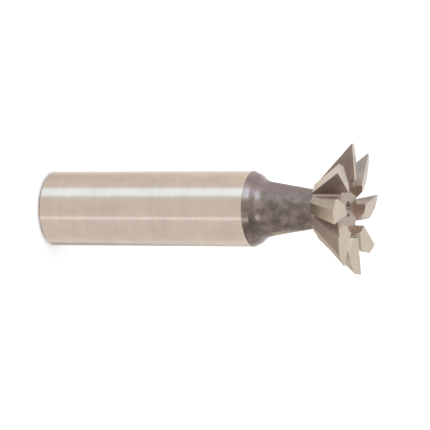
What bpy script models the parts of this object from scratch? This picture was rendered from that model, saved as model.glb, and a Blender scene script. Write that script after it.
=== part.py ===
"""Shank-type angle milling cutter, one solid piece of high-speed steel.

The cutter stands on the flat end of its shank, axis along +Z, teeth at the top.
The blank is turned as one profile: shank, shoulder, tapered neck, head and the
recess in the cutting end.  The teeth are then ground into the head: the space
round one tooth and in its gash is a block cut by planes, less what is kept of
the tooth, and a copy of it is taken from the blank at each tooth position.

A tooth's planes are set in its own frame: X runs out through the cutting tip,
Y points backwards, away from the rake face, and Z is the cutter's axis.
Lengths are in metres and angles in degrees.
"""

import math

import bmesh
import bpy
from mathutils import Matrix, Vector

MM = 0.001

# Shank, ground to fit a collet
SHANK_DIAMETER = 16.0 * MM
SHANK_LENGTH = 46.8 * MM
SHANK_CHAMFER = 0.5 * MM

# Shoulder between shank and neck
SHOULDER_BEVEL_LENGTH = 1.3 * MM
SHOULDER_BEVEL_DROP = 0.65 * MM
SHOULDER_ANGLE = 41.0

# Tapered neck
NECK_LARGE_RADIUS = 5.88 * MM
NECK_TAPER = 9.6
NECK_FILLET = 0.7 * MM

# Head
OVERALL_LENGTH = 69.5 * MM
HEAD_DIAMETER = 28.0 * MM
HEAD_ANGLE = 45.0
HEAD_DEPTH = 8.1 * MM
HEAD_BACK_FILLET = 0.5 * MM
GRINDING_STOCK = 1.2 * MM

# Recess in the cutting end
RECESS_DIAMETER = 12.0 * MM
RECESS_DEPTH = 1.8 * MM
RECESS_FILLET = 0.3 * MM

# Centre holes at both ends
CENTRE_MOUTH_DIAMETER = 3.2 * MM
CENTRE_PILOT_DIAMETER = 1.3 * MM
CENTRE_PILOT_DEPTH = 1.2 * MM
CENTRE_ANGLE = 60.0

# Teeth
TOOTH_COUNT = 8
RAKE_ANGLE = 2.0
SIDE_LAND_WIDTH = 2.64 * MM
SIDE_LAND_CLEARANCE = 6.5
TOOTH_BACK_ANGLE = 59.5
END_LAND_WIDTH = 0.8 * MM
END_LAND_CLEARANCE = 6.0
END_BACK_CLEARANCE = 12.0
END_DISH_ANGLE = 0.3
GASH_ANGLE = 38.0
ROOT_RADIUS = 5.3 * MM
ROOT_FLAT_WIDTH = 0.3 * MM
END_GASH_DEPTH = 2.9 * MM
END_GASH_SLOPE = 19.0
END_GASH_LEAN = 45.0
SPACE_OVERRUN = 0.5 * MM

# Facets
TURNED_SEGMENTS = 96
ARC_POINTS = 4

# Finish of the steel
STEEL_COLOUR = (0.50, 0.45, 0.40, 1.0)
STEEL_METALLIC = 1.0
STEEL_ROUGHNESS = 0.32


def tan(degrees):
    return math.tan(math.radians(degrees))


def clear_scene():
    """Remove every object that the file opens with."""
    for old in list(bpy.data.objects):
        bpy.data.objects.remove(old, do_unlink=True)


def steel():
    """The finish of the whole cutter."""
    material = bpy.data.materials.new("tool_steel")
    material.use_nodes = True
    shader = material.node_tree.nodes["Principled BSDF"]
    shader.inputs["Base Color"].default_value = STEEL_COLOUR
    shader.inputs["Metallic"].default_value = STEEL_METALLIC
    shader.inputs["Roughness"].default_value = STEEL_ROUGHNESS
    return material


def rounded(before, corner, after, radius):
    """Points of the arc of a radius that rounds the corner of a profile."""
    before, corner, after = Vector(before), Vector(corner), Vector(after)
    to_before = (before - corner).normalized()
    to_after = (after - corner).normalized()
    half = to_before.angle(to_after) / 2
    reach = radius / math.tan(half)
    centre = corner + (to_before + to_after).normalized() * radius / math.sin(half)
    start = corner + to_before * reach - centre
    end = corner + to_after * reach - centre
    sweep = start.angle_signed(end)
    points = []
    for step in range(ARC_POINTS + 1):
        turned = start.copy()
        turned.rotate(Matrix.Rotation(-sweep * step / ARC_POINTS, 2))
        points.append(tuple(centre + turned))
    return points


def centre_hole(face_z, inward):
    """Profile of a centre hole from the mouth in to the axis; inward is +1 up or -1 down."""
    mouth = CENTRE_MOUTH_DIAMETER / 2
    pilot = CENTRE_PILOT_DIAMETER / 2
    cone_depth = (mouth - pilot) / tan(CENTRE_ANGLE / 2)
    pilot_end = cone_depth + CENTRE_PILOT_DEPTH
    point_depth = pilot_end + pilot * tan(CENTRE_ANGLE / 2)
    return [
        (mouth, face_z),
        (pilot, face_z + inward * cone_depth),
        (pilot, face_z + inward * pilot_end),
        (0.0, face_z + inward * point_depth),
    ]


def neck_radius(height):
    """Radius of the tapered neck at a height, from its large end at the shoulder."""
    return NECK_LARGE_RADIUS - (height - neck_start()) * tan(NECK_TAPER)


def neck_start():
    """Height at which the shoulder meets the large end of the neck."""
    band_radius = SHANK_DIAMETER / 2 - SHOULDER_BEVEL_DROP
    cone_length = (band_radius - NECK_LARGE_RADIUS) / tan(SHOULDER_ANGLE)
    return SHANK_LENGTH + SHOULDER_BEVEL_LENGTH + cone_length


def blank_profile():
    """Outline of the turned blank as (radius, height), from the tip's axis down to the foot's."""
    shank = SHANK_DIAMETER / 2
    head = HEAD_DIAMETER / 2
    head_back = OVERALL_LENGTH - HEAD_DEPTH
    back_radius = head - HEAD_DEPTH * tan(HEAD_ANGLE) + GRINDING_STOCK
    front = OVERALL_LENGTH + GRINDING_STOCK
    front_radius = back_radius + (front - head_back) * tan(HEAD_ANGLE)
    recess = RECESS_DIAMETER / 2
    floor = OVERALL_LENGTH - RECESS_DEPTH

    neck_foot = (NECK_LARGE_RADIUS, neck_start())
    neck_top = (neck_radius(head_back), head_back)
    band_end = (shank - SHOULDER_BEVEL_DROP, SHANK_LENGTH + SHOULDER_BEVEL_LENGTH)

    profile = list(reversed(centre_hole(floor, -1)))
    profile += rounded(profile[-1], (recess, floor), (recess, front), RECESS_FILLET)
    profile += [(recess, front), (front_radius, front), (back_radius, head_back)]
    profile += rounded(profile[-1], neck_top, neck_foot, HEAD_BACK_FILLET)
    profile += rounded(profile[-1], neck_foot, band_end, NECK_FILLET)
    profile += [band_end, (shank, SHANK_LENGTH)]
    profile += [(shank, SHANK_CHAMFER), (shank - SHANK_CHAMFER, 0.0)]
    profile += centre_hole(0.0, 1)
    return profile


def add_object(name, mesh_data):
    """Link a new object for a bmesh and free the bmesh."""
    mesh = bpy.data.meshes.new(name)
    mesh_data.to_mesh(mesh)
    mesh_data.free()
    piece = bpy.data.objects.new(name, mesh)
    bpy.context.collection.objects.link(piece)
    return piece


def turned(name, profile):
    """Spin a profile of (radius, height) points about the axis into a closed solid."""
    form = bmesh.new()
    corners = [form.verts.new((radius, 0.0, height)) for radius, height in profile]
    edges = [form.edges.new(pair) for pair in zip(corners, corners[1:])]
    bmesh.ops.spin(
        form,
        geom=corners + edges,
        cent=(0.0, 0.0, 0.0),
        axis=(0.0, 0.0, 1.0),
        angle=2 * math.pi,
        steps=TURNED_SEGMENTS,
        use_merge=True,
    )
    bmesh.ops.remove_doubles(form, verts=form.verts[:], dist=0.001 * MM)
    bmesh.ops.recalc_face_normals(form, faces=form.faces[:])
    return add_object(name, form)


def tool(piece):
    """Mark a piece as a cutter that only shapes others."""
    piece.hide_render = True
    piece.display_type = "WIRE"
    return piece


def subtract(target, cutter):
    """Take a cutter out of a target with an exact Boolean."""
    cut = target.modifiers.new(cutter.name, "BOOLEAN")
    cut.operation = "DIFFERENCE"
    cut.solver = "EXACT"
    cut.object = cutter


def carved_block(low_corner, high_corner, planes):
    """A block cut back by planes, each a point and a normal that points out of what stays."""
    form = bmesh.new()
    bmesh.ops.create_cube(form, size=1.0)
    for vert in form.verts:
        picks = zip(vert.co, low_corner, high_corner)
        vert.co = Vector([low if side < 0.0 else high for side, low, high in picks])
    for point, normal in planes:
        cut = bmesh.ops.bisect_plane(
            form,
            geom=form.verts[:] + form.edges[:] + form.faces[:],
            plane_co=point,
            plane_no=normal.normalized(),
            clear_outer=True,
        )
        rim = [edge for edge in cut["geom_cut"] if isinstance(edge, bmesh.types.BMEdge)]
        bmesh.ops.contextual_create(form, geom=rim)
    bmesh.ops.recalc_face_normals(form, faces=form.faces[:])
    return form


def direction(turn):
    """Unit vector across the axis at an angle behind the tooth's rake face."""
    return Vector((math.cos(math.radians(turn)), math.sin(math.radians(turn)), 0.0))


def gash_planes():
    """Rake face of the tooth behind, wall and floor of the gash in front of it."""
    pitch = 360.0 / TOOTH_COUNT
    head = HEAD_DIAMETER / 2
    front = Vector((0.0, 0.0, OVERALL_LENGTH))
    tip_behind = direction(pitch) * head + front
    rake_normal = direction(pitch + 90.0) + direction(pitch) * tan(RAKE_ANGLE)

    wall_turn = pitch - GASH_ANGLE
    root = direction(pitch) * (ROOT_RADIUS - ROOT_FLAT_WIDTH / tan(GASH_ANGLE)) + front
    wall_normal = direction(wall_turn + 90.0)

    floor_point = direction(pitch) * ROOT_RADIUS + front
    floor_normal = -direction(pitch - GASH_ANGLE / 2)
    return (tip_behind, rake_normal), (root, wall_normal), (floor_point, floor_normal)


def end_gash_plane():
    """Facet that opens a gash to the cutting end: its wall, leant back towards the end."""
    wall_turn = 360.0 / TOOTH_COUNT - GASH_ANGLE
    wall_normal = direction(wall_turn + 90.0)
    foot = direction(360.0 / TOOTH_COUNT) * ROOT_RADIUS
    foot.z = OVERALL_LENGTH - END_GASH_DEPTH
    edge = direction(wall_turn) + Vector((0.0, 0.0, tan(END_GASH_SLOPE)))
    upward = edge.cross(wall_normal).normalized()
    return foot, wall_normal + upward * tan(END_GASH_LEAN)


def tooth_planes():
    """Side land, back and end relief of a tooth; every plane of a land holds the cutting tip."""
    tip = Vector((HEAD_DIAMETER / 2, 0.0, OVERALL_LENGTH))
    slope = tan(HEAD_ANGLE)
    dish = tan(END_DISH_ANGLE)

    side_land = Vector((1.0, tan(SIDE_LAND_CLEARANCE), -slope))
    side_drop = SIDE_LAND_WIDTH * tan(SIDE_LAND_CLEARANCE)
    side_corner = tip + Vector((-side_drop, SIDE_LAND_WIDTH, 0.0))
    tooth_back = Vector((1.0, tan(TOOTH_BACK_ANGLE), -slope))

    end_land = Vector((-dish, tan(END_LAND_CLEARANCE), 1.0))
    end_drop = END_LAND_WIDTH * tan(END_LAND_CLEARANCE)
    end_corner = tip + Vector((0.0, END_LAND_WIDTH, -end_drop))
    end_back = Vector((-dish, tan(END_BACK_CLEARANCE), 1.0))
    return [
        (tip, side_land),
        (side_corner, tooth_back),
        (tip, end_land),
        (end_corner, end_back),
        end_gash_plane(),
    ]


def tooth_space():
    """Mesh of what is ground away for one tooth: its reliefs and the gash behind it."""
    low = OVERALL_LENGTH - HEAD_DEPTH - SPACE_OVERRUN
    high = OVERALL_LENGTH + 2 * GRINDING_STOCK
    inner = ROOT_RADIUS / 3
    outer = HEAD_DIAMETER / 2 + 3 * GRINDING_STOCK
    over = 2 * SPACE_OVERRUN
    next_rake, wall, floor = gash_planes()

    space_low = Vector((inner, -SPACE_OVERRUN, low))
    space_high = Vector((outer, outer, high))
    space = add_object("tooth_space", carved_block(space_low, space_high, [next_rake, floor]))

    kept_low = Vector((inner - over, -over, low - over))
    kept_high = Vector((outer + over, outer + over, high + over))
    kept = add_object("tooth_kept", carved_block(kept_low, kept_high, tooth_planes() + [wall]))
    subtract(space, tool(kept))

    evaluated = space.evaluated_get(bpy.context.evaluated_depsgraph_get())
    mesh = bpy.data.meshes.new_from_object(evaluated)
    mesh.transform(Matrix.Diagonal((1.0, -1.0, 1.0, 1.0)))
    mesh.flip_normals()
    bpy.data.objects.remove(space, do_unlink=True)
    bpy.data.objects.remove(kept, do_unlink=True)
    return mesh


def cutter():
    """The finished cutter: the turned blank with its tooth spaces ground out."""
    piece = turned("angle_cutter", blank_profile())
    space = tooth_space()
    for index in range(TOOTH_COUNT):
        gash = tool(bpy.data.objects.new("tooth_space_%d" % (index + 1), space))
        bpy.context.collection.objects.link(gash)
        gash.rotation_euler.z = 2 * math.pi * index / TOOTH_COUNT
        subtract(piece, gash)
    piece.data.materials.append(steel())
    piece.data.shade_smooth()
    piece.data.set_sharp_from_angle(angle=math.radians(20.0))
    return piece


clear_scene()
cutter()
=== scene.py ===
"""Shank-type angle milling cutter, dressed with its ground and hardened finishes.

The cutter stands on the flat end of its shank, axis along +Z, teeth at the top, in
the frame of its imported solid, which it replaces.  Its form is worked out in two ways:
a profile of radius and height turned about the axis, and for the head the outline of
one tooth, found where its planes meet, carried from the back of the head to the
cutting end and repeated round the axis.

A tooth is worked out in its own frame: X runs out through the cutting tip, Y points
backwards, away from the rake face, and Z is the axis.  Angles are in radians, lengths
in metres.
"""

import math

import bmesh
import bpy
import numpy as np
from mathutils import Matrix, Vector


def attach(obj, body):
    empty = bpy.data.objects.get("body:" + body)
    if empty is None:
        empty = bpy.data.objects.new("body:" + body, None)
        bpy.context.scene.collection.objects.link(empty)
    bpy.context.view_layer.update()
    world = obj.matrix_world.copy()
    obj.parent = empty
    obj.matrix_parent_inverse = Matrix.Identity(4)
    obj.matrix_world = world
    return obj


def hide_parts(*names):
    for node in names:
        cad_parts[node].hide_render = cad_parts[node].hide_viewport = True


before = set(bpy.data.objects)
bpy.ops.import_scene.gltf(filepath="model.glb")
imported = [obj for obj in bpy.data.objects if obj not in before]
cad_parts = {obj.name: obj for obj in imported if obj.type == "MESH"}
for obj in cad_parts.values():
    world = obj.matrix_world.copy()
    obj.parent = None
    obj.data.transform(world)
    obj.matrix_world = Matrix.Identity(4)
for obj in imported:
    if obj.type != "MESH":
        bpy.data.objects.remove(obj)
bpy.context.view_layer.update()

bl_info = {
    "name": "Angle milling cutter",
    "version": (1, 0, 0),
    "blender": (4, 5, 0),
    "location": "View3D > Sidebar > Cutter",
    "description": "Builds a shank-type angle milling cutter and its studio",
    "category": "Object",
}

CAD_NODE = "angle_cutter"
GRIND_MAP = "along_grind"
MM = 0.001
WHITE = (1.0, 1.0, 1.0)

# Rows of grids, and steps of the head's outline along each face of a tooth.  The rake
# face has as many steps on an edge as the face on the other side of it has rows.
FLANK_ROWS = 6
END_ROWS = 6
RIM_ROWS = 2
SPOKE_ROWS = 5
BACK_ROWS = 2
ARC_STEPS = 8
RAKE_STEPS = (1, RIM_ROWS, END_ROWS)
LAND_STEPS = (1, 5)
BACK_STEPS = 5
WALL_STEPS = (1, 3)
FLOOR_STEPS = (1, 1)

# Faces by finish, in the order of the cutter's material slots
SHANK, HARDENED, LAND, RAKE, WALL, RECESS = range(6)

# Turned profile: radius of its plain corners, how far the hardened finish laps onto the
# ground shank, and how far the head's back runs past its fillet, in fillet radii
SOFT_CORNER = 0.12 * MM
FINISH_LAP = 0.02 * MM
FILLET_REACH = 1.2

# Mesh: distances at which points and edges are merged, the angle from which an edge is
# sharp and gets a worn line, and the segments of that line
SAME_POINT = 0.0005 * MM
NO_LENGTH = 0.0002 * MM
SHARP_ANGLE = math.radians(14.0)
EDGE_SEGMENTS = 2

# Heights in millimetres at which marks fade in, and out again: more gloss on the
# shoulder, painted shade at its crease, worn oxide, gloss in the centre hole, and painted
# light at the roots of the teeth
SHOULDER_GLOSS = (46.0, 46.3, 49.6, 51.4)
# Painted shade: a darker band at the crease between the shoulder's bevel and cone
CREASE_SHADE = (47.8, 48.2, 48.7, 49.1)
WORN_BAND = (50.6, 52.5, 55.0, 59.5)
CENTRE_HOLE = (63.0, 64.0)
# Painted light: heights over which the tone is lifted near the roots of the gashes
ROOT_LIGHT_HEIGHTS = (64.0, 67.5)

# Distances in millimetres at which marks fade in.  Those on the neck's two sides are
# measured out from the axis at NECK_FOOT, and shrink by NECK_DRAW for each millimetre
# above it.  Those of the painted light at the root of a tooth are measured in towards the axis.
TEMPER_SIDE = (4.0, 5.2)
WORN_SIDE = (4.0, 5.8)
NECK_FOOT = 50.0
NECK_DRAW = 0.14
ROOT_LIGHT_RADII = (10.5, 7.0)

# Values of a noise between which two tones are mixed
NOISE_SPREAD = (0.35, 0.65)

# Parts of the room: direction, cosines of outer and inner edge, change of level, tint
ROOM_PATCHES = (
    ((0.05, 0.97, 0.2), -0.2, 0.75, 0.21, (1.0, 1.0, 1.0)),
    ((0.20, 0.25, -0.95), 0.92, 0.98, 2.5, (1.0, 0.87, 0.79)),
    ((-0.15, -0.40, -0.90), 0.86, 0.95, -0.65, (1.0, 0.79, 0.74)),
    ((-0.45, 0.53, -0.72), 0.9, 0.97, -0.33, (1.0, 0.95, 0.9)),
    ((-0.75, -0.35, 0.56), 0.66, 0.92, 0.45, (1.0, 1.0, 1.0)),
    ((0.61, -0.28, 0.74), 0.8, 0.95, -0.35, (1.0, 1.0, 1.0)),
    ((0.46, 0.56, -0.69), 0.9, 0.96, -0.6, (1.0, 0.84, 0.76)),
    ((-0.02, 0.70, -0.71), 0.955, 0.99, 0.5, (1.0, 0.98, 0.98)),
    ((-0.76, 0.53, -0.38), 0.93, 0.99, -0.1, (1.0, 0.97, 0.9)),
    ((-0.30, 0.88, -0.37), 0.93, 0.985, -0.12, (1.0, 0.96, 0.93)),
    ((0.62, 0.69, -0.37), 0.93, 0.985, -0.12, (1.0, 0.98, 0.96)),
)

# Soft boxes: name, place, width, height, power and colour, and the point that they face
SOFT_BOXES = (
    ("key_box", (-0.513, -0.239, -0.05), 0.26, 1.1, 0.7, (0.49, 0.88, 1.2)),
    ("key_high", (-0.426, -0.172, 0.378), 0.34, 0.25, 0.4, (0.7, 0.95, 1.4)),
    ("line_box", (0.176, -0.574, -0.05), 0.04, 1.1, 0.12, (1.0, 1.0, 1.25)),
    ("line_high", (0.23, -0.494, 0.40), 0.15, 0.28, 0.17, (1.0, 0.95, 1.05)),
)
LIGHT_TARGET = (0.0, 0.0, 0.045)

# Floor: radius, rings, points round each ring, and distance under the shank's end
FLOOR_RADIUS = 3.0
FLOOR_RINGS = 8
FLOOR_POINTS = 96
FLOOR_GAP = 0.05 * MM

# Camera: its place, right, up and back, and its lens and sensor in millimetres
CAMERA_PLACE = (-0.12261, -0.53474, 0.25906)
CAMERA_RIGHT = (0.08077, 0.36524, 0.92740)
CAMERA_UP = (-0.97448, 0.22445, -0.00352)
CAMERA_BACK = (-0.20944, -0.90345, 0.37404)
CAMERA_LENS = 233.81
CAMERA_SENSOR = 36.0
CAMERA_CLIP = 0.01


def length(name, description, default):
    """A size that the user can change."""
    return bpy.props.FloatProperty(
        name=name, description=description, default=default, min=0.0, unit="LENGTH", precision=5
    )


def angle(name, description, default):
    """An angle that the user can change, given in degrees."""
    return bpy.props.FloatProperty(
        name=name, description=description, default=math.radians(default), subtype="ANGLE"
    )


def colour(name, description, default):
    """A colour that the user can change."""
    return bpy.props.FloatVectorProperty(
        name=name,
        description=description,
        default=default,
        size=3,
        min=0.0,
        max=4.0,
        subtype="COLOR",
    )


class CutterSizes(bpy.types.PropertyGroup):
    """Sizes of the cutter."""

    overall_length: length("Overall length", "Shank end to cutting tips", 69.5 * MM)
    shank_diameter: length("Shank diameter", "Ground shank, gripped by a collet", 16.0 * MM)
    shank_length: length("Shank length", "Ground part of the shank", 46.8 * MM)
    shank_chamfer: length("Shank chamfer", "Chamfer at the end of the shank", 0.5 * MM)
    bevel_length: length("Bevel length", "Bevel at the start of the shoulder", 1.3 * MM)
    bevel_drop: length("Bevel drop", "How far the bevel falls in", 0.65 * MM)
    shoulder_angle: angle("Shoulder angle", "Slope of the shoulder's cone to the axis", 41.0)
    neck_radius: length("Neck radius", "Large end of the neck, at the shoulder", 5.88 * MM)
    neck_taper: angle("Neck taper", "Slope of the neck to the axis", 9.6)
    neck_fillet: length("Neck fillet", "Radius between shoulder and neck", 4.0 * MM)
    head_diameter: length("Head diameter", "Across the cutting tips", 28.0 * MM)
    head_angle: angle("Head angle", "Slope of the side cutting edges to the axis", 45.0)
    head_depth: length("Head depth", "Cutting tips to the back of the head", 8.1 * MM)
    head_fillet: length("Head fillet", "Radius between neck and head", 0.5 * MM)
    recess_diameter: length("Recess diameter", "Recess in the cutting end", 12.0 * MM)
    recess_depth: length("Recess depth", "Cutting tips to the floor of the recess", 1.8 * MM)
    centre_mouth: length("Centre mouth", "Mouth of the centre holes, across", 3.2 * MM)
    centre_pilot: length("Centre pilot", "Pilot of the centre holes, across", 1.3 * MM)
    pilot_depth: length("Pilot depth", "Straight part of the centre holes", 1.2 * MM)
    centre_angle: angle("Centre angle", "Included angle of the centre holes", 60.0)
    edge_width: length("Edge width", "Width of the worn line on each edge", 0.035 * MM)


class CutterTeeth(bpy.types.PropertyGroup):
    """Number and angles of the teeth."""

    count: bpy.props.IntProperty(name="Teeth", description="Number of teeth", default=8, min=4)
    rake: angle("Rake", "Lean of the rake face from the radius", 2.0)
    land_width: length("Side land", "Width of the land behind a side edge", 2.64 * MM)
    land_clearance: angle("Side clearance", "Fall of the side land", 6.5)
    back_angle: angle("Back angle", "Fall of the tooth's back", 59.5)
    end_land_width: length("End land", "Width of the land behind an end edge", 0.8 * MM)
    end_clearance: angle("End clearance", "Fall of the end land", 6.0)
    end_back_clearance: angle("End back clearance", "Fall behind the end land", 12.0)
    dish: angle("Dish", "Fall of the end edges towards the axis", 0.3)
    gash: angle("Gash", "Included angle of a gash", 38.0)
    root_radius: length("Root radius", "Axis to the floor of a gash", 5.3 * MM)
    root_flat: length("Root flat", "Width of the floor of a gash", 0.3 * MM)
    end_gash_depth: length("End gash depth", "Depth of the end facet at the root", 2.9 * MM)
    end_gash_slope: angle("End gash slope", "Slope of the end facet's edge", 19.0)
    end_gash_lean: angle("End gash lean", "Lean of the end facet from the wall", 45.0)


class CutterFinish(bpy.types.PropertyGroup):
    """Colours of the steel."""

    shank: colour("Shank", "Ground shank", (0.60, 0.50, 0.42))
    hardened: colour("Hardened", "Unground steel, dark from heat treatment", (0.20, 0.16, 0.135))
    temper: colour("Temper", "Tint that the heat left on one side", (0.28, 0.21, 0.212))
    worn: colour("Worn", "Steel whose oxide has worn off", (0.52, 0.44, 0.32))
    land: colour("Land", "Freshly ground lands and end faces", (0.51, 0.44, 0.355))
    rake: colour("Rake", "Rake faces", (0.34, 0.27, 0.235))
    wall: colour("Wall", "Walls and floors of the gashes", (0.56, 0.44, 0.375))
    recess: colour("Recess", "Turned recess in the cutting end", (0.30, 0.225, 0.175))


class CutterStage(bpy.types.PropertyGroup):
    """Light and camera."""

    room_level: bpy.props.FloatProperty(
        name="Room", description="Level of the room's light", default=0.95, min=0.0
    )
    box_level: bpy.props.FloatProperty(
        name="Soft boxes", description="Level of the soft boxes", default=1.0, min=0.0
    )


def rounded(points, radii, steps=ARC_STEPS):
    """A path through points, each inner corner replaced by an arc of its radius.

    The arc's centre lies on the corner's bisector, at the radius over the sine of the
    half angle, and the arc is the slerp between its two tangent points.
    """
    points = np.asarray(points, float)
    path = [points[:1]]
    for before, corner, after, radius in zip(points, points[1:], points[2:], radii):
        if radius == 0.0:
            path.append(corner[None])
            continue
        back = (before - corner) / np.linalg.norm(before - corner)
        on = (after - corner) / np.linalg.norm(after - corner)
        half = math.acos(float(np.clip(back @ on, -1.0, 1.0))) / 2
        bisector = (back + on) / np.linalg.norm(back + on)
        centre = corner + bisector * radius / math.sin(half)
        start = corner + back * radius / math.tan(half) - centre
        end = corner + on * radius / math.tan(half) - centre
        sweep = math.pi - 2 * half
        turn = np.linspace(0.0, sweep, steps + 1)[:, None]
        arc = (np.sin(sweep - turn) * start + np.sin(turn) * end) / math.sin(sweep)
        path.append(centre + arc)
    path.append(points[-1:])
    return np.concatenate(path)


def chain(points, steps):
    """A path through points, each stretch cut into its number of equal steps."""
    points = np.asarray(points, float)
    stretches = [
        start + (end - start) * np.linspace(0.0, 1.0, count, endpoint=False)[:, None]
        for start, end, count in zip(points, points[1:], steps)
    ]
    return np.concatenate(stretches + [points[-1:]])


def ruled(first, second, rows):
    """A grid of straight lines from each point of one path to the same point of another."""
    share = np.linspace(0.0, 1.0, rows + 1)[:, None, None]
    return first + (second - first) * share


def plane(normal, point):
    """A plane as its normal and its offset: a point p is on it where normal . p = offset."""
    normal = np.asarray(normal, float)
    return np.append(normal, normal @ np.asarray(point, float))


def across(turn, height=0.0):
    """A vector across the axis at an angle, with a height."""
    return np.array([math.cos(turn), math.sin(turn), height])


def meet(*planes):
    """The corner at which three planes meet."""
    planes = np.array(planes)
    return np.linalg.solve(planes[:, :3], planes[:, 3])


def meet_round(first, second, radius, towards):
    """Where the line of two planes passes a radius, on the side that a vector points to.

    The line's foot and direction give a quadratic for the distance along it.
    """
    along = np.cross(first[:3], second[:3])
    foot = meet(first, second, np.append(along, 0.0))
    terms = [along[:2] @ along[:2], 2 * foot[:2] @ along[:2], foot[:2] @ foot[:2] - radius**2]
    ends = foot + np.roots(terms)[:, None].real * along
    return ends[np.argmax(ends @ towards)]


def round_edge(cut, radius, start, end, steps):
    """The edge of a plane on a cylinder: points at equal angles, each raised to the plane."""
    turn = np.linspace(math.atan2(start[1], start[0]), math.atan2(end[1], end[0]), steps + 1)
    x = radius * np.cos(turn)
    y = radius * np.sin(turn)
    z = (cut[3] - cut[0] * x - cut[1] * y) / cut[2]
    return np.stack([x, y, z], axis=1)


def tooth_planes(size, teeth):
    """The planes of one tooth and of the gashes on both its sides."""
    pitch = 2 * math.pi / teeth.count
    tip = np.array([size.head_diameter / 2, 0.0, size.overall_length])
    slope = math.tan(size.head_angle)
    dish = math.tan(teeth.dish)
    lean = math.tan(teeth.rake)

    side_fall = math.tan(teeth.land_clearance)
    side_corner = tip + [-teeth.land_width * side_fall, teeth.land_width, 0.0]
    end_fall = math.tan(teeth.end_clearance)
    end_corner = tip + [0.0, teeth.end_land_width, -teeth.end_land_width * end_fall]

    wall_turn = pitch - teeth.gash
    wall_normal = across(wall_turn + math.pi / 2)
    root = across(pitch) * (teeth.root_radius - teeth.root_flat / math.tan(teeth.gash))
    foot = across(pitch) * teeth.root_radius
    foot[2] = size.overall_length - teeth.end_gash_depth
    edge = across(wall_turn, math.tan(teeth.end_gash_slope))
    upward = np.cross(edge, wall_normal)
    upward /= np.linalg.norm(upward)

    def rake_at(turn):
        """The rake face of the tooth at an angle."""
        normal = across(turn + math.pi / 2) + across(turn) * lean
        return plane(normal, across(turn) * size.head_diameter / 2)

    def floor_at(turn):
        """The floor of the gash in front of the tooth at an angle."""
        normal = across(turn - teeth.gash / 2)
        return plane(normal, across(turn) * teeth.root_radius)

    return {
        "rake": rake_at(0.0),
        "next_rake": rake_at(pitch),
        "front_floor": floor_at(0.0),
        "floor": floor_at(pitch),
        "wall": plane(wall_normal, root),
        "side_land": plane([1.0, side_fall, -slope], tip),
        "back": plane([1.0, math.tan(teeth.back_angle), -slope], side_corner),
        "end_land": plane([-dish, end_fall, 1.0], tip),
        "end_back": plane([-dish, math.tan(teeth.end_back_clearance), 1.0], end_corner),
        "end_gash": plane(wall_normal + upward * math.tan(teeth.end_gash_lean), foot),
        "head_back": plane([0.0, 0.0, 1.0], [0.0, 0.0, size.overall_length - size.head_depth]),
        "recess": plane([0.0, 0.0, 1.0], [0.0, 0.0, size.overall_length - size.recess_depth]),
    }


def turn_points(points, turn):
    """Points turned about the axis."""
    cos, sin = math.cos(turn), math.sin(turn)
    return points @ np.array([[cos, sin, 0.0], [-sin, cos, 0.0], [0.0, 0.0, 1.0]])


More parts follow.
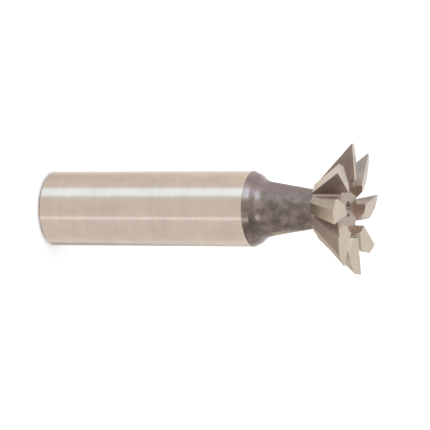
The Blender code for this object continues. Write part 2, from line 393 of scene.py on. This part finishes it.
def tooth_patches(size, teeth):
    """The faces of one tooth and its gash as grids, and the two outlines that they end on.

    Each face is ruled between two of its edges.  The flanks run from the outline at
    the back of the head to the edges of the cutting end, the end faces from those
    edges in to the rim of the recess, and the recess wall from the rim to its floor.
    """
    planes = tooth_planes(size, teeth)
    pitch = 2 * math.pi / teeth.count
    rim = size.recess_diameter / 2

    def corner(*names):
        """Where three of the planes meet."""
        return meet(*(planes[name] for name in names))

    def rim_corner(first, second, towards):
        """Where two of the planes meet on the rim of the recess, on the side of an angle."""
        return meet_round(planes[first], planes[second], rim, across(towards))

    foot = [
        corner("rake", "front_floor", "head_back"),
        corner("rake", "side_land", "head_back"),
        corner("side_land", "back", "head_back"),
        corner("back", "wall", "head_back"),
        corner("wall", "floor", "head_back"),
        corner("floor", "next_rake", "head_back"),
    ]
    tip = corner("rake", "side_land", "end_land")
    land_end = corner("side_land", "end_land", "end_back")
    land_back = corner("side_land", "back", "end_back")
    heel = corner("back", "wall", "end_back")
    facet_top = corner("wall", "end_back", "end_gash")
    facet_foot = corner("wall", "floor", "end_gash")
    facet_root = corner("floor", "end_gash", "recess")
    root = corner("rake", "front_floor", "recess")
    rake_base = rim_corner("rake", "recess", 0.0)
    rake_rim = rim_corner("rake", "end_land", 0.0)
    land_rim = rim_corner("end_land", "end_back", 0.0)
    facet_rim = rim_corner("end_back", "end_gash", pitch / 2)
    facet_base = rim_corner("end_gash", "recess", pitch / 2)

    rake = chain([root, rake_base, rake_rim, tip], RAKE_STEPS)
    land = chain([tip, land_end, land_back], LAND_STEPS)
    back = chain([land_back, heel], [BACK_STEPS])
    wall = chain([heel, facet_top, facet_foot], WALL_STEPS)
    floor = chain([facet_foot, facet_root, turn_points(root, pitch)], FLOOR_STEPS)
    tops = [rake, land, back, wall, floor]
    feet = [
        chain([start, end], [len(top) - 1]) for start, end, top in zip(foot, foot[1:], tops)
    ]
    finishes = [RAKE, LAND, LAND, WALL, WALL]
    patches = [
        (ruled(low, top, FLANK_ROWS), finish)
        for low, top, finish in zip(feet, tops, finishes)
    ]

    land_edge = np.array([rake_rim, land_rim])
    end_edge = np.concatenate([land[1:], back[1:], wall[1:2]])
    back_edge = round_edge(planes["end_back"], rim, land_rim, facet_rim, len(end_edge) - 1)
    facet_arc = round_edge(planes["end_gash"], rim, facet_rim, facet_base, WALL_STEPS[1])
    facet_outer = np.concatenate([wall[1:], [facet_root]])
    facet_inner = np.concatenate([facet_arc, [facet_root]])
    patches += [
        (ruled(land[:2], land_edge, END_ROWS), LAND),
        (ruled(end_edge, back_edge, END_ROWS), LAND),
        (ruled(facet_outer[:2], facet_inner[:2], END_ROWS), LAND),
        (ruled(facet_outer[1:], facet_inner[1:], END_ROWS), RAKE),
    ]

    rim_top = np.concatenate([land_edge[:1], back_edge, facet_arc[1:]])
    rim_base = rim_top.copy()
    rim_base[:, 2] = size.overall_length - size.recess_depth
    patches.append((ruled(rim_top, rim_base, RIM_ROWS), RECESS))

    back_outline = np.concatenate([low[:-1] for low in feet])
    recess_outline = np.concatenate([rim_base, floor[1:]])
    return patches, back_outline, recess_outline


def ring(outline, count):
    """One outline repeated round the axis and closed on its first point."""
    turns = 2 * math.pi * np.arange(count) / count
    points = np.concatenate([turn_points(outline, turn) for turn in turns])
    return np.concatenate([points, points[:1]])


def circle_like(outline, count, radius, height):
    """A circle with a point for each point of a ring, at equal angles from its first."""
    start = math.atan2(outline[0][1], outline[0][0])
    turn = start + np.linspace(0.0, 2 * math.pi, len(outline) * count + 1)
    flat = np.stack([np.cos(turn), np.sin(turn)], axis=1) * radius
    return np.column_stack([flat, np.full(len(turn), height)])


def turned(profile, circle):
    """A profile of (radius, height) turned about the axis at the angles of a circle."""
    unit = circle[:, :2] / np.linalg.norm(circle[:, :2], axis=1)[:, None]
    profile = np.asarray(profile, float)
    across_axis = profile[:, None, :1] * unit[None]
    heights = np.broadcast_to(profile[:, None, 1:], across_axis.shape[:2] + (1,))
    return np.concatenate([across_axis, heights], axis=2)


def centre_hole(size, face_z, inward):
    """Profile of a centre hole from its mouth in to the axis; inward is 1 up or -1 down."""
    mouth, pilot = size.centre_mouth / 2, size.centre_pilot / 2
    cone = (mouth - pilot) / math.tan(size.centre_angle / 2)
    point = pilot * math.tan(size.centre_angle / 2)
    steps = np.cumsum([0.0, cone, size.pilot_depth, point])
    return np.column_stack([[mouth, pilot, pilot, 0.0], face_z + inward * steps])


def body_profile(size):
    """Profile of neck, shoulder and shank, from the back of the head down to the shank's end."""
    shank = size.shank_diameter / 2
    head_back = size.overall_length - size.head_depth
    bevel_end = size.shank_length + size.bevel_length
    bevel_radius = shank - size.bevel_drop
    cone = (bevel_radius - size.neck_radius) / math.tan(size.shoulder_angle)
    neck_start = bevel_end + cone
    neck_top = size.neck_radius - (head_back - neck_start) * math.tan(size.neck_taper)
    points = [
        (neck_top + FILLET_REACH * size.head_fillet, head_back),
        (neck_top, head_back),
        (size.neck_radius, neck_start),
        (bevel_radius, bevel_end),
        (shank, size.shank_length),
        (shank, size.shank_chamfer),
        (shank - size.shank_chamfer, 0.0),
        (size.centre_mouth / 2, 0.0),
    ]
    radii = [size.head_fillet, size.neck_fillet, 2 * SOFT_CORNER, *[SOFT_CORNER] * 3]
    return rounded(points, radii)


def cutter_patches(size, teeth):
    """Every face of the cutter as grids, each with its finish."""
    tooth, back_outline, recess_outline = tooth_patches(size, teeth)
    turns = 2 * math.pi * np.arange(teeth.count) / teeth.count
    patches = [
        (turn_points(grid, turn), finish) for turn in turns for grid, finish in tooth
    ]

    profile = body_profile(size)
    circle = circle_like(back_outline, teeth.count, *profile[0])
    patches.append((ruled(ring(back_outline, teeth.count), circle, BACK_ROWS), HARDENED))
    start = np.searchsorted(-profile[:, 1], -(size.shank_length - FINISH_LAP))
    end = np.searchsorted(-profile[:, 1], -(size.shank_chamfer + FINISH_LAP))
    patches.append((turned(profile[: start + 1], circle), HARDENED))
    patches.append((turned(profile[start : end + 1], circle), SHANK))
    patches.append((turned(profile[end:], circle), HARDENED))
    patches.append((turned(centre_hole(size, 0.0, 1), circle), HARDENED))

    floor_z = size.overall_length - size.recess_depth
    mouth = circle_like(recess_outline, teeth.count, size.centre_mouth / 2, floor_z)
    patches.append((ruled(ring(recess_outline, teeth.count), mouth, SPOKE_ROWS), RECESS))
    patches.append((turned(centre_hole(size, floor_z, -1), mouth), HARDENED))
    return patches


def run_of(grid, axis):
    """Distance along a grid's rows or columns, as the mean of its lines' lengths."""
    steps = np.linalg.norm(np.diff(grid, axis=axis), axis=2).mean(axis=1 - axis)
    return np.concatenate([[0.0], np.cumsum(steps)])


def add_mesh(name, patches):
    """One closed mesh from grids, with their finishes and a map in metres along each grid.

    The grids' Y is turned over, because backwards from the tooth at +X is -Y in the
    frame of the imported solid.
    """
    points, faces, marks, flat_map = [], [], [], []
    start = 0
    for grid, finish in patches:
        rows, columns = grid.shape[:2]
        index = start + np.arange(rows * columns).reshape(rows, columns)
        quads = np.stack([index[:-1, :-1], index[:-1, 1:], index[1:, 1:], index[1:, :-1]], 2)
        place = np.stack(np.meshgrid(run_of(grid, 1), run_of(grid, 0)), axis=2)
        points.append(grid.reshape(-1, 3))
        faces.append(quads.reshape(-1, 4))
        marks.append(np.full((rows - 1) * (columns - 1), finish))
        flat_map.append(place.reshape(-1, 2))
        start += rows * columns
    points = np.concatenate(points) * [1.0, -1.0, 1.0]
    faces = np.concatenate(faces)
    mesh = bpy.data.meshes.new(name)
    mesh.from_pydata(points, [], faces)
    mesh.polygons.foreach_set("material_index", np.concatenate(marks))
    layer = mesh.uv_layers.new(name=GRIND_MAP)
    layer.data.foreach_set("uv", np.concatenate(flat_map)[faces.ravel()].ravel())

    form = bmesh.new()
    form.from_mesh(mesh)
    bmesh.ops.remove_doubles(form, verts=form.verts[:], dist=SAME_POINT)
    bmesh.ops.dissolve_degenerate(form, edges=form.edges[:], dist=NO_LENGTH)
    bmesh.ops.recalc_face_normals(form, faces=form.faces[:])
    form.to_mesh(mesh)
    form.free()
    piece = bpy.data.objects.new(name, mesh)
    bpy.context.collection.objects.link(piece)
    return piece


class Value:
    """A socket of a node tree, on which sums are written as on a number."""

    def __init__(self, nodes, socket):
        self.nodes = nodes
        self.socket = socket

    def sum(self, operation, first, second):
        """A Math node on two values."""
        return self.nodes.node("ShaderNodeMath", {"operation": operation}, {0: first, 1: second})

    def output(self, name):
        """Another output of the same node."""
        return Value(self.nodes, self.socket.node.outputs[name])

    def __add__(self, other):
        return self.sum("ADD", self, other)

    def __radd__(self, other):
        return self.sum("ADD", other, self)

    def __sub__(self, other):
        return self.sum("SUBTRACT", self, other)

    def __rsub__(self, other):
        return self.sum("SUBTRACT", other, self)

    def __mul__(self, other):
        return self.sum("MULTIPLY", self, other)

    def __rmul__(self, other):
        return self.sum("MULTIPLY", other, self)


class Nodes:
    """The nodes of a material or of the world."""

    def __init__(self, owner):
        owner.use_nodes = True
        self.tree = owner.node_tree

    def node(self, kind, settings=None, inputs=None, output=0):
        """Add a node: its settings first, then the values or links of its sockets."""
        made = self.tree.nodes.new(kind)
        for key, setting in (settings or {}).items():
            setattr(made, key, setting)
        for key, value in (inputs or {}).items():
            self.feed(made.inputs[key], value)
        return Value(self, made.outputs[output])

    def feed(self, socket, value):
        """Link a value to a socket, or set the socket to a number or colour."""
        if isinstance(value, Value):
            self.tree.links.new(value.socket, socket)
        else:
            socket.default_value = value

    def ramp(self, value, low, high):
        """A share from 0 to 1 as a value goes from low to high."""
        return self.node(
            "ShaderNodeMapRange",
            {"interpolation_type": "SMOOTHSTEP"},
            {"Value": value, "From Min": low, "From Max": high},
        )

    def band(self, value, start, full, fade, end):
        """A share that goes from 0 to 1 and back to 0 as a value passes four edges."""
        return self.ramp(value, start, full) - self.ramp(value, fade, end)

    def mix(self, share, first, second):
        """A colour between two others."""
        return self.node(
            "ShaderNodeMix",
            {"data_type": "RGBA"},
            {0: share, 6: rgba(first), 7: rgba(second)},
            output=2,
        )

    def shown(self):
        """1 for what the camera sees, itself or in metal and glass, and 0 for other light."""
        ray = self.node("ShaderNodeLightPath")
        seen = ray + ray.output("Is Glossy Ray") + ray.output("Is Transmission Ray")
        return self.node("ShaderNodeMath", {"operation": "MINIMUM"}, {0: seen, 1: 1.0})


class Finish(Nodes):
    """A material with a shader of its own."""

    def __init__(self, name):
        self.material = bpy.data.materials.new(name)
        super().__init__(self.material)
        self.shader = self.tree.nodes["Principled BSDF"]

    def set(self, **sockets):
        """Feed the shader's own sockets, named with underscores for spaces."""
        for name, value in sockets.items():
            self.feed(self.shader.inputs[name.replace("_", " ").title()], value)

    def place(self, stretch):
        """Object coordinates in millimetres, times a stretch along each axis."""
        seat = self.node("ShaderNodeTexCoord", output=3)
        scale = tuple(value / MM for value in stretch)
        return self.node("ShaderNodeVectorMath", {"operation": "MULTIPLY"}, {0: seat, 1: scale})

    def seat(self):
        """Distance from the axis and height, in millimetres."""
        x = self.node("ShaderNodeSeparateXYZ", None, {0: self.place((1.0, 1.0, 1.0))})
        y = x.output("Y")
        radius = self.node("ShaderNodeMath", {"operation": "SQRT"}, {0: x * x + y * y})
        return radius, x.output("Z")

    def along(self, stretch):
        """The piece's own map in millimetres, times a stretch along each axis."""
        seat = self.node("ShaderNodeUVMap", {"uv_map": GRIND_MAP})
        scale = tuple(value / MM for value in stretch)
        return self.node("ShaderNodeVectorMath", {"operation": "MULTIPLY"}, {0: seat, 1: scale})

    def noise(self, vector, detail=3.0, roughness=0.55):
        """Soft random values about a half."""
        return self.node(
            "ShaderNodeTexNoise",
            {"noise_dimensions": "3D"},
            {"Vector": vector, "Scale": 1.0, "Detail": detail, "Roughness": roughness},
        )

    def bump(self, height, depth):
        """A normal from a height, whose full swing is a depth in metres."""
        return self.node("ShaderNodeBump", None, {"Height": height * depth, "Strength": 1.0})


def rgba(tone):
    """A colour with its alpha, or a link as it is."""
    return tone if isinstance(tone, Value) else (*tone, 1.0)


def shade(tone, factor):
    """A colour made lighter or darker."""
    return tuple(part * factor for part in tone)


def ground_shank(tone):
    """Cylindrically ground steel: fine rings round the axis and faint handling marks."""
    finish = Finish("ground_shank")
    rings = finish.noise(finish.place((0.05, 0.05, 9.0)), 4.0)
    bands = finish.noise(finish.place((0.06, 0.06, 0.5)), 3.0)
    mottle = finish.noise(finish.place((0.35, 0.35, 0.18)), 4.0)
    share = rings * 0.35 + bands * 0.25 + mottle * 0.4
    dark, light = shade(tone, 0.93), shade(tone, 1.06)
    finish.set(
        base_color=finish.mix(finish.ramp(share, *NOISE_SPREAD), dark, light),
        metallic=1.0,
        roughness=0.14 + rings * 0.05 + mottle * 0.05,
        normal=finish.bump(rings, 0.0004 * MM),
    )
    return finish.material


def hardened_steel(tone, temper, worn):
    """Turned and hardened steel: dark oxide, tinted on one side and worn on the other."""
    finish = Finish("hardened_steel")
    marks = finish.noise(finish.place((0.1, 0.1, 4.0)), 3.0)
    stain = finish.noise(finish.place((0.5, 0.5, 0.45)), 5.0, 0.65)
    grain = finish.noise(finish.place((3.0, 3.0, 3.0)), 4.0, 0.7)
    dark, light, fleck = [shade(tone, factor) for factor in (0.72, 1.25, 1.7)]
    body = finish.mix(finish.ramp(stain, *NOISE_SPREAD), dark, light)
    body = finish.mix(finish.ramp(grain, 0.55, 0.75) * 0.5, body, fleck)
    height = finish.node("ShaderNodeSeparateXYZ", None, {0: finish.place((1.0, 1.0, 1.0))}, 2)
    smooth = finish.band(height, *SHOULDER_GLOSS) + finish.ramp(height, *CENTRE_HOLE)
    # The crease between bevel and cone takes a little of the temper tint, and painted shade as a
    # darker temper tone that damps the highlight there
    crease_shade = finish.band(height, *CREASE_SHADE)
    out = height.output("X")
    inset = (height - NECK_FOOT) * NECK_DRAW
    tinted = finish.ramp(inset - out, *TEMPER_SIDE) + crease_shade * 0.2
    ragged = inset + out + (stain - 0.5) * 2.0
    bare = finish.ramp(ragged, *WORN_SIDE) * finish.band(height, *WORN_BAND)
    body = finish.mix(tinted * (0.5 + stain * 0.4), body, temper)
    # Painted shade: the crease darkened with a darker temper tone
    body = finish.mix(crease_shade * 0.3, body, shade(temper, 0.5))
    finish.set(
        base_color=finish.mix(bare * finish.ramp(stain, 0.2, 0.6), body, worn),
        metallic=1.0,
        roughness=0.46 - smooth * 0.31 + stain * 0.1,
        normal=finish.bump(marks * 0.7 + grain * 0.3, 0.02 * MM),
    )
    return finish.material


def ground_face(name, tone, roughness, contrast, root=1.0):
    """A face ground by a wheel that passed along its edge: fine parallel lines.

    Near the root at the cutting end, deep in the gashes, the tone is multiplied by a
    factor: painted light that lifts the shade there.
    """
    finish = Finish(name)
    radius, height = finish.seat()
    # Painted light: share near the roots of the gashes, where they lie in shade
    near = finish.ramp(height, *ROOT_LIGHT_HEIGHTS) * finish.ramp(radius, *ROOT_LIGHT_RADII)
    lines = finish.noise(finish.along((0.12, 7.0, 1.0)), 4.0)
    coarse = finish.noise(finish.along((0.1, 1.6, 1.0)), 2.0)
    mottle = finish.noise(finish.place((0.3, 0.3, 0.3)), 4.0)
    share = lines * 0.4 + coarse * 0.25 + mottle * 0.35
    low, high = [
        finish.mix(near, shade(tone, level), shade(tone, level * root))
        for level in (1.0 - contrast, 1.0 + contrast)
    ]
    finish.set(
        base_color=finish.mix(finish.ramp(share, *NOISE_SPREAD), low, high),
        metallic=1.0,
        roughness=roughness + lines * 0.1,
        normal=finish.bump(lines, 0.0015 * MM),
    )
    return finish.material


def turned_recess(floor_tone, wall_tone, rim):
    """Recess floor and wall: rings left by the turning tool, dark in their valleys."""
    finish = Finish("turned_recess")
    radius, height = finish.seat()
    rings = finish.node(
        "ShaderNodeTexNoise",
        {"noise_dimensions": "1D"},
        {"W": radius + height, "Scale": 3.2, "Detail": 3.0, "Roughness": 0.6},
    )
    wall = finish.ramp(radius, rim / MM - 0.1, rim / MM - 0.05)
    valley = finish.mix(wall, shade(floor_tone, 0.8), shade(wall_tone, 0.77))
    ridge = finish.mix(wall, shade(floor_tone, 1.15), shade(wall_tone, 1.22))
    finish.set(
        base_color=finish.mix(finish.ramp(rings, *NOISE_SPREAD), valley, ridge),
        metallic=1.0,
        roughness=0.14 + rings * 0.08,
        normal=finish.bump(rings, 0.004 * MM),
    )
    return finish.material


class CUTTER_OT_cutter(bpy.types.Operator):
    """Build the cutter: turned shank and neck, toothed head and recess"""

    bl_idname = "cutter.cutter"
    bl_label = "Cutter"

    def execute(self, context):
        scene = context.scene
        size, teeth, tones = scene.cutter_sizes, scene.cutter_teeth, scene.cutter_finish
        piece = add_mesh("cutter", cutter_patches(size, teeth))
        finishes = [
            ground_shank(tones.shank),
            hardened_steel(tones.hardened, tones.temper, tones.worn),
            ground_face("ground_land", tones.land, roughness=0.35, contrast=0.08),
            # The rake's tone is lifted by painted light near the roots of the gashes
            ground_face("ground_rake", tones.rake, roughness=0.5, contrast=0.12, root=1.35),
            ground_face("ground_wall", tones.wall, roughness=0.5, contrast=0.12),
            turned_recess(tones.recess, tones.wall, size.recess_diameter / 2),
        ]
        for material in finishes:
            piece.data.materials.append(material)
        piece.data.shade_smooth()
        piece.data.set_sharp_from_angle(angle=SHARP_ANGLE)
        edges = piece.modifiers.new("edges", "BEVEL")
        edges.width = size.edge_width
        edges.segments = EDGE_SEGMENTS
        edges.limit_method = "ANGLE"
        edges.angle_limit = SHARP_ANGLE
        edges.use_clamp_overlap = False
        edges.harden_normals = True
        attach(piece, "root")
        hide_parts(CAD_NODE)
        return {"FINISHED"}


def soft_box(name, place, width, height, power, tone):
    """A rectangular soft box that lights the cutter and isn't seen by the camera."""
    lamp = bpy.data.lights.new(name, "AREA")
    lamp.shape = "RECTANGLE"
    lamp.size = width
    lamp.size_y = height
    lamp.energy = power
    lamp.color = tone
    piece = bpy.data.objects.new(name, lamp)
    piece.visible_camera = False
    bpy.context.collection.objects.link(piece)
    forward = (Vector(LIGHT_TARGET) - Vector(place)).normalized()
    turn = forward.to_track_quat("-Z", "Y").to_matrix().to_4x4()
    piece.matrix_world = Matrix.Translation(place) @ turn


def add_floor():
    """A round plain floor that looks white and keeps the cutter's shadow."""
    turn = np.linspace(0.0, 2 * math.pi, FLOOR_POINTS + 1)
    circle = np.column_stack([np.cos(turn), np.sin(turn), np.zeros_like(turn)])
    grid = circle[None] * np.linspace(0.0, FLOOR_RADIUS, FLOOR_RINGS + 1)[:, None, None]
    grid[:, :, 2] = -FLOOR_GAP
    mesh = bpy.data.meshes.new("floor")
    index = np.arange(grid.shape[0] * grid.shape[1]).reshape(grid.shape[:2])
    quads = np.stack([index[:-1, :-1], index[1:, :-1], index[1:, 1:], index[:-1, 1:]], 2)
    mesh.from_pydata(grid.reshape(-1, 3), [], quads.reshape(-1, 4))
    form = bmesh.new()
    form.from_mesh(mesh)
    bmesh.ops.remove_doubles(form, verts=form.verts[:], dist=SAME_POINT)
    form.to_mesh(mesh)
    form.free()
    floor = bpy.data.objects.new("floor", mesh)
    bpy.context.collection.objects.link(floor)

    finish = Finish("pale_floor")
    finish.set(base_color=(0.8, 0.8, 0.8, 1.0), roughness=0.9)
    finish.feed(finish.shader.inputs["Specular IOR Level"], 0.0)
    finish.feed(finish.shader.inputs["Emission Color"], rgba(WHITE))
    finish.set(emission_strength=finish.shown() * 0.3)
    mesh.materials.append(finish.material)
    floor.visible_glossy = False
    floor.visible_shadow = False


def add_room(world, level):
    """The room round the cutter: an even level, with softly edged lighter and darker parts.

    Each part adds its change where the cosine between its direction and the direction
    that is looked in passes from its outer to its inner edge.  The camera sees white.
    """
    room = Nodes(world)
    look = room.node("ShaderNodeTexCoord")
    strength = level
    tone = WHITE
    for direction, outer, inner, change, tint in ROOM_PATCHES:
        towards = tuple(Vector(direction).normalized())
        near = room.node("ShaderNodeVectorMath", {"operation": "DOT_PRODUCT"}, {0: look, 1: towards})
        share = room.ramp(near.output("Value"), outer, inner)
        strength = strength + share * change * level
        tone = room.mix(share, tone, tint)
    lit = room.node("ShaderNodeBackground", None, {"Color": tone, "Strength": strength})
    white = room.node("ShaderNodeBackground", None, {"Color": rgba(WHITE)})
    camera = room.node("ShaderNodeLightPath")
    choice = room.node("ShaderNodeMixShader", None, {0: camera, 1: lit, 2: white})
    room.feed(room.tree.nodes["World Output"].inputs["Surface"], choice)


def add_camera(scene):
    """The camera at the photograph's viewing angle, on its side, with a long lens."""
    lens = bpy.data.cameras.new("camera")
    lens.sensor_width = CAMERA_SENSOR
    lens.lens = CAMERA_LENS
    lens.clip_start = CAMERA_CLIP
    camera = bpy.data.objects.new("camera", lens)
    scene.collection.objects.link(camera)
    turn = Matrix((CAMERA_RIGHT, CAMERA_UP, CAMERA_BACK)).transposed().to_4x4()
    camera.matrix_world = Matrix.Translation(CAMERA_PLACE) @ turn
    scene.camera = camera


class CUTTER_OT_stage(bpy.types.Operator):
    """Build the floor, the room's light, the soft boxes and the camera"""

    bl_idname = "cutter.stage"
    bl_label = "Stage"

    def execute(self, context):
        scene = context.scene
        stage = scene.cutter_stage
        scene.view_settings.view_transform = "Standard"
        scene.world = bpy.data.worlds.new("room")
        add_floor()
        add_room(scene.world, stage.room_level)
        for name, place, width, height, power, tone in SOFT_BOXES:
            soft_box(name, place, width, height, power * stage.box_level, tone)
        add_camera(scene)
        return {"FINISHED"}


class CUTTER_PT_panel(bpy.types.Panel):
    """The cutter's sizes and its two building steps"""

    bl_idname = "CUTTER_PT_panel"
    bl_label = "Angle milling cutter"
    bl_space_type = "VIEW_3D"
    bl_region_type = "UI"
    bl_category = "Cutter"

    def draw(self, context):
        for group_name in GROUPS:
            group = getattr(context.scene, group_name)
            box = self.layout.box()
            for name in group.__annotations__:
                box.prop(group, name)
        for step in STEPS:
            self.layout.operator("cutter." + step)


STEPS = ["cutter", "stage"]
GROUPS = {
    "cutter_sizes": CutterSizes,
    "cutter_teeth": CutterTeeth,
    "cutter_finish": CutterFinish,
    "cutter_stage": CutterStage,
}
CLASSES = [*GROUPS.values(), CUTTER_OT_cutter, CUTTER_OT_stage, CUTTER_PT_panel]


def register():
    for each in CLASSES:
        bpy.utils.register_class(each)
    for name, group in GROUPS.items():
        setattr(bpy.types.Scene, name, bpy.props.PointerProperty(type=group))


def unregister():
    for name in GROUPS:
        delattr(bpy.types.Scene, name)
    for each in reversed(CLASSES):
        bpy.utils.unregister_class(each)


def main():
    """Build everything."""
    register()
    for step in STEPS:
        getattr(bpy.ops.cutter, step)()


if __name__ == "__main__":
    main()
